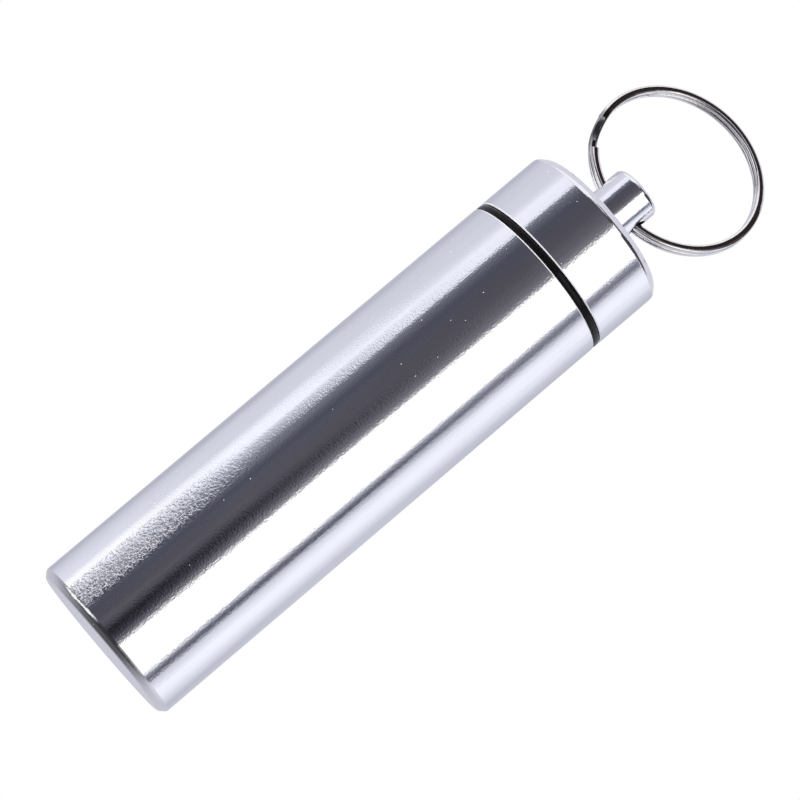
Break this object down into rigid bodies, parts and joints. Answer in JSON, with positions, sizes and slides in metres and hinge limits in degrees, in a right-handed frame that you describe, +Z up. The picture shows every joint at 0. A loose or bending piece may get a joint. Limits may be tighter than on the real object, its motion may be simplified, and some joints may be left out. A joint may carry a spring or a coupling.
{
  "type": "pill capsule",
  "caption": "Slim cylindrical pill capsule with a screw cap, a rubber seal and a split key ring through the cap's cross-drilled stud.",
  "frame": {"origin": "centre of the flat base of the capsule", "axes": "+Z up along the capsule's axis towards the cap and key ring, X along the cross hole in the stud, the key ring leans back towards +Y"},
  "size_m": [0.0256, 0.024, 0.112],
  "materials": {
    "body_metal": "polished, clear anodised, with faint turning lines and handling specks",
    "seal_rubber": "black nitrile, satin",
    "cap_metal": "polished, clear anodised",
    "ring_steel": "bright nickel plate on spring steel"
  },
  "bodies": {
    "capsule": {"body": "body_metal"},
    "seal": {"seal_ring": "seal_rubber"},
    "screw_cap": {"cap": "cap_metal"},
    "key_ring": {"split_ring": "ring_steel"}
  },
  "joints": [
    {"name": "cap_turn", "type": "hinge", "parent": "capsule", "child": "seal", "pos_m": [0, 0, 0.07493], "axis": [0, 0, 1], "range_deg": [0, 1530]},
    {"name": "cap_lift", "type": "slide", "parent": "seal", "child": "screw_cap", "axis": [0, 0, 1], "range_m": [0, 0.00638]},
    {"name": "ring_swing", "type": "hinge", "parent": "screw_cap", "child": "key_ring", "pos_m": [0, 0, 0.0893], "axis": [1, 0, 0], "range_deg": [-95, 140]}
  ],
  "couplings": [
    {"joint": "cap_lift", "follows": "cap_turn", "m_per_rad": 0.00023873}
  ]
}
